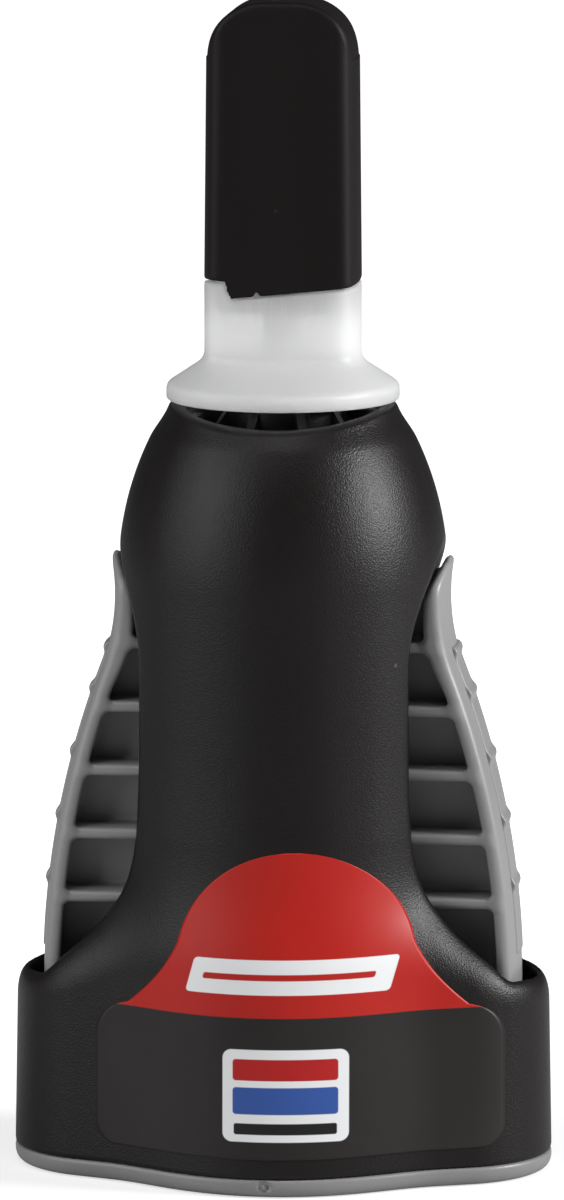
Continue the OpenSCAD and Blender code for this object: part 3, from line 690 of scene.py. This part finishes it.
def label_print():
    paint = Paint("label_print")
    split = paint.nodes.new("ShaderNodeSeparateXYZ")
    paint.links.new(paint.place, split.inputs[0])
    across = paint.math("DIVIDE", split.outputs["X"], MM)
    up = paint.math("DIVIDE", split.outputs["Z"], MM)
    front = paint.math("LESS_THAN", split.outputs["Y"], 0.0)
    side = paint.math("SUBTRACT", paint.math("MULTIPLY", front, 2.0), 1.0)
    across = paint.math("SUBTRACT", paint.math("MULTIPLY", across, side), LABEL_X)

    def inside(distance):
        return paint.ramp(distance, 0.04, -0.04)

    def box(mid_x, mid_z, half_x, half_z, corner, slant=0.0):
        dz = paint.math("SUBTRACT", up, mid_z)
        dx = paint.math("SUBTRACT", across, mid_x)
        dx = paint.math("SUBTRACT", dx, paint.math("MULTIPLY", dz, slant))
        qx = paint.math("SUBTRACT", paint.math("ABSOLUTE", dx), half_x - corner)
        qz = paint.math("SUBTRACT", paint.math("ABSOLUTE", dz), half_z - corner)
        far_x = paint.math("MAXIMUM", qx, 0.0)
        far_z = paint.math("MAXIMUM", qz, 0.0)
        square_x, square_z = paint.math("MULTIPLY", far_x, far_x), paint.math("MULTIPLY", far_z, far_z)
        out = paint.math("SQRT", paint.math("ADD", square_x, square_z))
        near = paint.math("MINIMUM", paint.math("MAXIMUM", qx, qz), 0.0)
        return paint.math("SUBTRACT", paint.math("ADD", out, near), corner)

    cloud = paint.ramp(paint.noise(70, 3), 0.3, 0.75)
    color = paint.mix(cloud, rgb(0.015, 0.0125, 0.0125), rgb(0.023, 0.020, 0.019))
    red = paint.mix(cloud, rgb(0.40, 0.012, 0.008), rgb(0.46, 0.017, 0.011))
    white = rgb(0.78, 0.79, 0.80)
    color = paint.mix(inside(paint.math("SUBTRACT", RED_LOW_Z, up)), color, red)
    color = paint.mix(inside(box(-0.2, BAR_Z, 8.9, 1.55, 0.35, BAR_SLANT)), color, white)
    color = paint.mix(inside(box(-0.4, BAR_Z, 7.5, 0.28, 0.2, BAR_SLANT)), color, red)
    color = paint.mix(inside(box(BADGE_X, 9.2, 5.5, 4.1, 0.8)), color, white)
    color = paint.mix(inside(box(BADGE_X, 11.5, 4.6, 0.95, 0.3)), color, rgb(0.42, 0.014, 0.014))
    color = paint.mix(inside(box(BADGE_X, 8.75, 4.6, 1.2, 0.3)), color, rgb(0.035, 0.09, 0.33))
    color = paint.mix(inside(box(BADGE_X, 6.25, 4.5, 0.5, 0.2)), color, rgb(0.012, 0.012, 0.013))
    color = paint.mix(paint.math("MULTIPLY", specks(paint, 400, 0.03), 0.5), color, rgb(0.2, 0.2, 0.2))
    roughness = paint.ramp(paint.noise(160, 3), 0.3, 0.7, 0.36, 0.46)
    return paint.set(Base_Color=color, Roughness=roughness, Specular_IOR_Level=0.25)


BLACK = matt_black("housing_black", (0.0062, 0.0048, 0.0046), (0.0080, 0.0064, 0.0061), 0.35, 0.4, 0.27)
CAP_BLACK = matt_black("cap_black", (0.0062, 0.0046, 0.0044), (0.0076, 0.0059, 0.0056), 0.48, 0.2, 0.16)
GREY = satin_grey("grip_grey", (0.235, 0.235, 0.236), (0.265, 0.265, 0.267))
BASE_GREY = satin_grey("base_grey", (0.205, 0.205, 0.207), (0.235, 0.235, 0.238))
NATURAL = natural_plastic()
PRINT = label_print()
STEEL = bare_metal("pin_steel", (0.5, 0.5, 0.5), (0.66, 0.66, 0.66), 0.2, 900, (1, 1, 0.1))
ALUMINIUM = bare_metal("tube_aluminium", (0.56, 0.57, 0.58), (0.68, 0.69, 0.7), 0.34, 500, (1, 1, 0.2))
GEL = soft_stuff("gel", (0.72, 0.7, 0.62), (0.66, 0.64, 0.55), 0.12, 0.8)
RUBBER = soft_stuff("seal_soft", (0.7, 0.7, 0.68), (0.6, 0.6, 0.58), 0.5, 0.0)

# Pieces

for name, field, step, box, body, slot, paint in (
        ("housing", housing_field, 0.3, (HOUSING_LOW, HOUSING_HIGH), "dispenser", "housing_black", BLACK),
        ("base_plate", base_field, 0.2, (BASE_LOW, BASE_HIGH), "dispenser", "base_grey", BASE_GREY),
        ("nozzle", nozzle_field, 0.22, (NOZZLE_LOW, NOZZLE_HIGH), "dispenser", "nozzle_natural", NATURAL),
        ("cap_shell", cap_field, 0.16, (CAP_LOW, CAP_HIGH), "cap", "cap_black", CAP_BLACK)):
    shape = surface_net(field, box[0], box[1], step)
    place(make_mesh(name + "_look", *shape), name, body, slot, paint)

STRIP_REACH = np.array([STRIP_HIGH[0], STRIP_HIGH[1], STRIP_TOP_Z])
for name, field, step, box in (("grip", grip_field, 0.22, (GRIP_LOW, GRIP_HIGH)),
                               ("grip_strip", strip_field, 0.16, (STRIP_LOW - 1, STRIP_REACH))):
    shape = surface_net(field, box[0], box[1], step)
    for hand, form in (("right", shape), ("left", mirrored(*shape))):
        node = hand + "_" + name
        place(make_mesh(node + "_look", *form), node, hand + "_lever", "grip_grey", GREY)


def label_half(z):
    """Half the width of the label at a height."""
    dome = np.sqrt(np.maximum(RED_DOME_R ** 2 - (z - RED_DOME_Z) ** 2, 0.01))
    flank = np.clip((FLANK_Z - z) / (FLANK_Z - RED_LOW_Z - 0.3), 0, 1)
    upper = np.where(z > RED_DOME_Z, dome, RED_DOME_R) + (RED_HALF - RED_DOME_R) * flank ** 1.6
    shoulder = LABEL_HALF - RED_HALF
    round_top = RED_HALF + np.sqrt(np.maximum(shoulder ** 2 - np.maximum(z - LABEL_SHOULDER_Z, 0) ** 2, 0))
    drop = np.maximum(LABEL_LOW_Z + LABEL_CORNER_R - z, 0)
    corner = np.sqrt(np.maximum(LABEL_CORNER_R ** 2 - drop ** 2, 0)) - LABEL_CORNER_R
    return np.where(z > LABEL_SHOULDER_Z + shoulder, upper, round_top) + corner


def label_mesh(name, side):
    """A film laid on the bell, found by halving along Y."""
    rows, columns = LABEL_GRID
    z = np.linspace(LABEL_LOW_Z, LABEL_TOP_Z - LABEL_TRIM, rows)[:, None]
    x = LABEL_X + label_half(z) * np.linspace(-1, 1, columns)[None, :]
    z = np.broadcast_to(z, x.shape)
    far, near = np.full(x.shape, BULGE_R + 1), np.zeros(x.shape)
    for _ in range(HALVINGS):
        middle = (far + near) / 2
        outside = bell(x, middle, z) > 0
        far, near = np.where(outside, middle, far), np.where(outside, near, middle)
    surface = np.stack([x, -far, z], axis=-1).reshape(-1, 3)
    normals = gradient(bell, surface, 0.1)
    normals /= np.linalg.norm(normals, axis=1)[:, None]
    number = np.arange(rows * columns).reshape(rows, columns)
    faces = np.stack([number[:-1, :-1], number[:-1, 1:], number[1:, 1:], number[1:, :-1]], axis=-1)
    rim = np.concatenate([number[0, :-1], number[:-1, -1], number[-1, :0:-1], number[:0:-1, 0]])
    below = rows * columns + np.arange(len(rim))
    skirt = np.stack([rim, below, np.roll(below, -1), np.roll(rim, -1)], axis=-1)
    points = np.concatenate([surface + normals * LABEL_LIFT, surface[rim] - normals[rim] * LABEL_LIFT])
    turn = np.array([side, side, 1])
    return make_mesh(name, points * turn, np.concatenate([faces.reshape(-1, 4), skirt]))


for side, name in ((1, "front_label"), (-1, "back_label")):
    place(label_mesh(name + "_look", side), name, "dispenser", "label_print", PRINT)

for node, paint in (("neck_ring", BLACK), ("glue_tube", ALUMINIUM), ("glue_gel", GEL),
                    ("cap_pin", STEEL), ("tip_seal", RUBBER)):
    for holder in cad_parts[node].material_slots:
        holder.material = paint

# Stage, light and camera

scene = bpy.context.scene


def direct_view(nodes, links):
    """1 where the camera looks straight at a surface or through the pale plastic, 0 otherwise."""
    path = nodes.new("ShaderNodeLightPath")
    either = nodes.new("ShaderNodeMath")
    either.operation = "MAXIMUM"
    links.new(path.outputs["Is Camera Ray"], either.inputs[0])
    links.new(path.outputs["Is Transmission Ray"], either.inputs[1])
    return either.outputs[0]


ROOM_LIGHT = 0.07
world = bpy.data.worlds.new("studio")
scene.world = world
world.use_nodes = True
nodes, links = world.node_tree.nodes, world.node_tree.links
room = nodes["Background"]
room.inputs["Color"].default_value = rgb(0.92, 0.94, 0.97)
room.inputs["Strength"].default_value = ROOM_LIGHT
backdrop = nodes.new("ShaderNodeBackground")
backdrop.inputs["Color"].default_value = rgb(1, 1, 1)
backdrop.inputs["Strength"].default_value = 1.0
blend = nodes.new("ShaderNodeMixShader")
links.new(direct_view(nodes, links), blend.inputs[0])
links.new(room.outputs[0], blend.inputs[1])
links.new(backdrop.outputs[0], blend.inputs[2])
links.new(blend.outputs[0], nodes["World Output"].inputs["Surface"])

FLOOR_GLOW = 0.6
GLOW_NEAR, GLOW_FAR = 0.03, 0.14
FLOOR_HALF = 3
floor_mesh = bpy.data.meshes.new("floor")
floor_corners = [(x * FLOOR_HALF, y * FLOOR_HALF, 0) for x, y in ((-1, -1), (1, -1), (1, 1), (-1, 1))]
floor_mesh.from_pydata(floor_corners, [], [(0, 1, 2, 3)])
floor = bpy.data.objects.new("floor", floor_mesh)
scene.collection.objects.link(floor)
floor_paint = Paint("floor_pale")
floor_shade = floor_paint.mix(floor_paint.noise(8), rgb(0.55, 0.55, 0.55), rgb(0.58, 0.58, 0.58))
floor_paint.set(Base_Color=floor_shade, Roughness=0.9)
spread = floor_paint.nodes.new("ShaderNodeVectorMath")
spread.operation = "LENGTH"
floor_paint.links.new(floor_paint.place, spread.inputs[0])
seen = direct_view(floor_paint.nodes, floor_paint.links)
rise = floor_paint.ramp(spread.outputs["Value"], GLOW_NEAR, GLOW_FAR, FLOOR_GLOW, 1.0)
glow = floor_paint.math("MULTIPLY", seen, rise)
floor_paint.set(Emission_Color=rgb(1, 1, 1), Emission_Strength=glow)
floor_mesh.materials.append(floor_paint.material)


def area_light(name, place, target, size, power):
    light = bpy.data.lights.new(name, "AREA")
    light.shape = "RECTANGLE"
    light.size, light.size_y = size
    light.energy = power
    lamp = bpy.data.objects.new(name, light)
    lamp.location = place
    lamp.rotation_mode = "QUATERNION"
    lamp.rotation_quaternion = (Vector(target) - Vector(place)).to_track_quat("-Z", "Y")
    scene.collection.objects.link(lamp)


CENTRE = (0, 0, 0.052)
area_light("key", (0.74, -0.09, 0.33), CENTRE, (0.26, 0.26), 7.8)
area_light("fill", (-0.60, -0.40, 0.36), CENTRE, (0.7, 0.7), 4.2)
area_light("top", (0.0, -0.30, 0.78), CENTRE, (0.5, 0.3), 1.5)

AZIMUTH = math.radians(6)
ELEVATION = math.radians(8.7)
DISTANCE = 0.82
TARGET = Vector((-0.0001, 0, 0.0507))
FRAME_TALL = 1200
PIXELS_PER_M = 11300

camera_data = bpy.data.cameras.new("camera")
camera_data.sensor_fit = "VERTICAL"
camera_data.sensor_height = 24
camera_data.lens = camera_data.sensor_height * PIXELS_PER_M * DISTANCE / FRAME_TALL
camera_data.clip_start, camera_data.clip_end = 0.01, 20
camera = bpy.data.objects.new("camera", camera_data)
back = Vector((math.sin(AZIMUTH) * math.cos(ELEVATION), -math.cos(AZIMUTH) * math.cos(ELEVATION),
               math.sin(ELEVATION)))
camera.location = TARGET + back * DISTANCE
camera.rotation_mode = "QUATERNION"
camera.rotation_quaternion = (-back).to_track_quat("-Z", "Y")
scene.collection.objects.link(camera)
scene.camera = camera
scene.view_settings.view_transform = "Standard"
